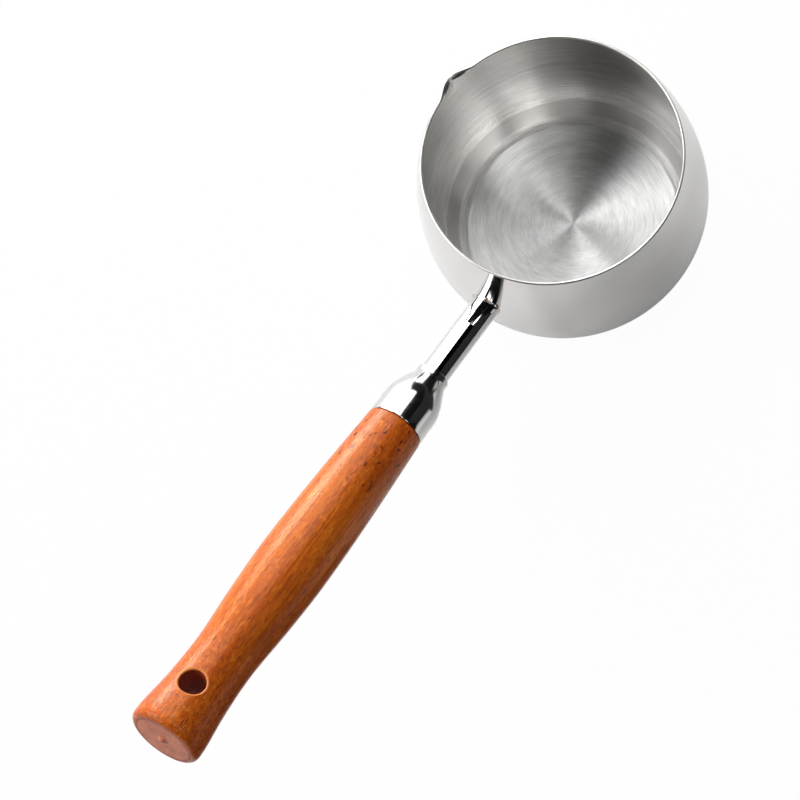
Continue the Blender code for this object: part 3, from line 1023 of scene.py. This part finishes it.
def bore_wood_painted_shade():
    """Bare wood inside the hanging hole, rough from the drill; its dark colour is painted shade of
    the hole's inside.
    """
    graph = Wood("bore_wood_painted_shade")
    pits = graph.grain(*BORE_PITS)
    # Painted shade: dark colours for the shaded inside of the hole
    colour = graph.mix(graph.ramp(pits, 0.35, 0.7), (0.40, 0.060, 0.012), (0.22, 0.030, 0.008))
    graph.set(Base_Color=colour, Roughness=graph.ramp(pits, 0.3, 0.7, 0.7, 0.85),
              IOR=1.3, Normal=graph.bump(pits, 0.00006))
    return graph.material


# End grain: rings of the turning, colours, and where the face meets the rounded edge, where a dark
# line is painted shade
TURNING_RINGS = (1.2, 0.0005, 1.0, 0.5)
END_DEEP = (0.50, 0.130, 0.052)
END_PALE = (0.68, 0.205, 0.100)
END_PORE = (0.34, 0.060, 0.026)
END_RING = (0.80, 0.32, 0.18)
END_EDGE_SHADE = (0.27, 0.030, 0.004)
END_EDGE_SHADE_CHANGE = (0.0094, 0.0104)


def end_wood():
    """Sanded end grain: small open pores and faint turning rings, paler than the sides, with a
    line of painted shade round its edge.
    """
    graph = Wood("end_grain")
    distance, east, north, _ = around(graph)
    pores = graph.grain(*END_PORES)
    cloud = graph.grain(*END_CLOUD)
    rings = streaks(graph, east, north, distance, TURNING_RINGS)
    colour = graph.mix(graph.ramp(cloud, 0.3, 0.7), END_DEEP, END_PALE)
    colour = graph.mix(graph.ramp(pores, 0.45, 0.75, 0.0, 0.5), colour, END_PORE)
    colour = graph.mix(graph.ramp(rings, 0.5, 0.75, 0.0, 0.25), colour, END_RING)
    # Painted shade: a dark line round the edge of the end face
    colour = graph.mix(graph.ramp(distance, *END_EDGE_SHADE_CHANGE, 0.0, 0.8), colour, END_EDGE_SHADE)
    graph.set(Base_Color=colour, Roughness=graph.ramp(pores, 0.3, 0.7, 0.42, 0.55),
              IOR=1.5, Normal=graph.bump(rings, 0.00002))
    return graph.material


def background_share(tree, seen, mirrored):
    """Share of plain white: seen by the camera, mirrored in gloss or through something clear."""
    path = tree.nodes.new("ShaderNodeLightPath")
    share = None
    for name, part in (("Is Camera Ray", seen), ("Is Glossy Ray", mirrored),
                       ("Is Transmission Ray", mirrored)):
        scaled = tree.nodes.new("ShaderNodeMath")
        scaled.operation = "MULTIPLY"
        scaled.inputs[1].default_value = part
        tree.links.new(path.outputs[name], scaled.inputs[0])
        if share:
            larger = tree.nodes.new("ShaderNodeMath")
            larger.operation = "MAXIMUM"
            tree.links.new(share, larger.inputs[0])
            tree.links.new(scaled.outputs[0], larger.inputs[1])
            share = larger.outputs[0]
        else:
            share = scaled.outputs[0]
    return share


WHITE = (1.0, 1.0, 1.0)
FLOOR_GREY = (0.72, 0.72, 0.72)
FLOOR_SEEN = 0.97
FLOOR_MIRRORED = 0.20
FLOOR_HALF = 3.0
FLOOR_DROP = 0.0002
ONE_FACE = [(0, 1, 2, 3)]


def floor_white():
    """Diffuse grey that glows white by the share that the camera or a mirror sees."""
    graph = Graph("floor_white")
    diffuse = graph.tree.nodes.new("ShaderNodeBsdfDiffuse")
    glow = graph.tree.nodes.new("ShaderNodeEmission")
    graph.put(diffuse.inputs["Color"], FLOOR_GREY)
    graph.put(glow.inputs["Color"], WHITE)
    share = background_share(graph.tree, FLOOR_SEEN, FLOOR_MIRRORED)
    graph.show_mix(share, diffuse, glow)
    graph.tree.nodes.remove(graph.shader)
    return graph.material


def level_corners(near, far, left, right, height=0.0):
    """Corners of a level rectangle."""
    return [(near, left, height), (far, left, height), (far, right, height),
            (near, right, height)]


def add_stage(name, corners, faces, material):
    """A thing of the studio that isn't part of the object."""
    mesh = bpy.data.meshes.new(name)
    mesh.from_pydata(corners, [], faces)
    mesh.materials.append(material)
    obj = bpy.data.objects.new(name, mesh)
    bpy.context.scene.collection.objects.link(obj)
    return obj


def add_mirrored(name, corners, faces, material):
    """A thing of the studio that shows in the gloss of steel and wood, and nowhere else."""
    obj = add_stage(name, corners, faces, material)
    obj.visible_camera = False
    obj.visible_shadow = False
    obj.visible_diffuse = False
    return obj


def build_floor():
    """Pale floor that shows white and keeps the object's soft shadow."""
    corners = level_corners(-FLOOR_HALF, FLOOR_HALF, -FLOOR_HALF, FLOOR_HALF)
    floor = add_stage("floor", corners, ONE_FACE, floor_white())
    floor.location.z = -FLOOR_DROP


def build_world():
    """White that the camera and mirrors see, and that gives no light."""
    world = bpy.data.worlds.new("studio")
    bpy.context.scene.world = world
    world.use_nodes = True
    tree = world.node_tree
    background = tree.nodes["Background"]
    background.inputs["Color"].default_value = (*WHITE, 1.0)
    tree.links.new(background_share(tree, 1.0, 1.0), background.inputs["Strength"])


def dull_black():
    """Dull black of the room and of the cards that darken one side of the steel."""
    graph = Graph("dull_black")
    graph.set(Base_Color=(0.014, 0.014, 0.014), Roughness=1.0, Specular_IOR_Level=0.0)
    return graph.material


# Room, upright card beside the pot, sheet on the floor by the grip (near, far, left, right), and
# soft shade on the floor behind the pot
ROOM = 2.6
ROOM_DROP = 0.001
ROOM_FACES = [(0, 1, 5, 4), (1, 2, 6, 5), (2, 3, 7, 6), (3, 0, 4, 7), (4, 5, 6, 7)]
CARD_PLACE = 0.13
CARD_ENDS = (-0.60, 0.035)
CARD_HEIGHT = 0.16
SHEET_SIDES = (0.125, 0.45, 0.025, 0.30)
SHEET_LIFT = 0.0006
SHADE_PLACE = (0.030, 0.100, 0.0003)
SHADE_SIZE = (0.095, 0.085)
SHADE_DEPTH = 0.34
SHADE_CORE = 0.15


def soft_shade():
    """Black that fades out towards its edges, so that steel mirrors a darker floor there."""
    graph = Graph("soft_black")
    x, y, _ = graph.place()
    reach = graph.length(graph.over(x, SHADE_SIZE[0]), graph.over(y, SHADE_SIZE[1]))
    clear = graph.tree.nodes.new("ShaderNodeBsdfTransparent")
    graph.set(Base_Color=(0.0, 0.0, 0.0), Roughness=1.0, Specular_IOR_Level=0.0)
    graph.show_mix(graph.ramp(reach, SHADE_CORE, 1.0, SHADE_DEPTH, 0.0), clear, graph.shader)
    return graph.material


def build_surround():
    """Dark room round the lamps, dark cards beside the pot and the handle, and the soft shade."""
    black = dull_black()
    low = level_corners(-ROOM, ROOM, -ROOM, ROOM, -ROOM_DROP)
    high = level_corners(-ROOM, ROOM, -ROOM, ROOM, ROOM)
    add_mirrored("room", low + high, ROOM_FACES, black)
    start, end = CARD_ENDS
    card = [(start, CARD_PLACE, 0), (end, CARD_PLACE, 0),
            (end, CARD_PLACE, CARD_HEIGHT), (start, CARD_PLACE, CARD_HEIGHT)]
    add_mirrored("dark_card", card, ONE_FACE, black)
    add_mirrored("dark_sheet", level_corners(*SHEET_SIDES, SHEET_LIFT), ONE_FACE, black)
    x, y = SHADE_SIZE
    shade = add_mirrored("floor_shade", level_corners(-x, x, -y, y), ONE_FACE, soft_shade())
    shade.location = SHADE_PLACE


# Lamps: name, then the azimuth, elevation, width and height seen from the point that they aim
# at, in degrees, and the brightness, where 1 shows as white in a mirror
AIM = Vector((0.03, 0.0, 0.03))
LAMP_DISTANCE = 1.3
LAMPS = (
    ("front_soft", -68, 29, 38, 28, 4.3),
    ("left_soft", -128, 22, 46, 44, 1.6),
    ("left_core", -125, 15, 32, 28, 8.5),
    ("left_bridge", -163, 44, 26, 11, 1.1),
    ("right_soft", -30, 24, 24, 34, 2.5),
    ("high_front", -79, 54, 18, 14, 7.0),
    ("high_right", -52, 50, 14, 12, 4.5),
    ("high_corner", -134, 52, 12, 12, 6.0),
    ("high_left", -168, 55, 24, 32, 2.5),
    ("high_back", 91, 74, 12, 10, 5.0),
    ("low_back", 92, 52, 14, 12, 4.8),
    ("top", 0, 90, 14, 14, 2.0),
)


def direction(azimuth, elevation):
    """Unit vector towards this azimuth and elevation."""
    a, e = math.radians(azimuth), math.radians(elevation)
    return Vector((math.cos(e) * math.cos(a), math.cos(e) * math.sin(a), math.sin(e)))


def add_lamp(name, azimuth, elevation, width, height, brightness):
    """Softbox that faces the object."""
    lamp = bpy.data.lights.new(name, "AREA")
    lamp.shape = "RECTANGLE"
    lamp.size = 2 * LAMP_DISTANCE * math.tan(math.radians(width) / 2)
    lamp.size_y = 2 * LAMP_DISTANCE * math.tan(math.radians(height) / 2)
    lamp.energy = brightness * math.pi * lamp.size * lamp.size_y
    obj = bpy.data.objects.new(name, lamp)
    away = direction(azimuth, elevation)
    obj.location = AIM + away * LAMP_DISTANCE
    obj.rotation_euler = away.to_track_quat("Z", "Y").to_euler()
    bpy.context.scene.collection.objects.link(obj)


def add_camera():
    """Camera at the photograph's place, with everything in focus."""
    data = bpy.data.cameras.new("camera")
    data.sensor_width = CAMERA_SENSOR
    data.lens = CAMERA_LENS
    camera = bpy.data.objects.new("camera", data)
    camera.location = CAMERA_PLACE
    camera.rotation_euler = [math.radians(angle) for angle in CAMERA_TURN]
    bpy.context.scene.collection.objects.link(camera)
    bpy.context.scene.camera = camera


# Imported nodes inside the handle, which stay as they are and get a material
HIDDEN_NODES = ("stem_plug", "hanger_stud", "seat_washer")


def build_object():
    """Every visible piece in its materials, and the material of the hidden ones."""
    build_pot([polished_steel(*POLISHED_WALL), polished_steel(*POLISHED_RIM),
               brushed_wall(), spun_floor()])
    build_stem(polished_steel(*CHROME, on_handle=True))
    build_weld(weld_steel())
    build_ferrule(polished_steel(*PRESSED_CHROME, on_handle=True))
    build_grip([red_wood(), bore_wood_painted_shade(), end_wood()])
    hidden = zinc_steel()
    for node in HIDDEN_NODES:
        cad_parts[node].data.materials[0] = hidden


def build_studio():
    """Floor, background, dark surround, lamps and camera."""
    build_floor()
    build_world()
    build_surround()
    for lamp in LAMPS:
        add_lamp(*lamp)
    add_camera()
    bpy.context.scene.view_settings.view_transform = "Standard"


build_object()
build_studio()
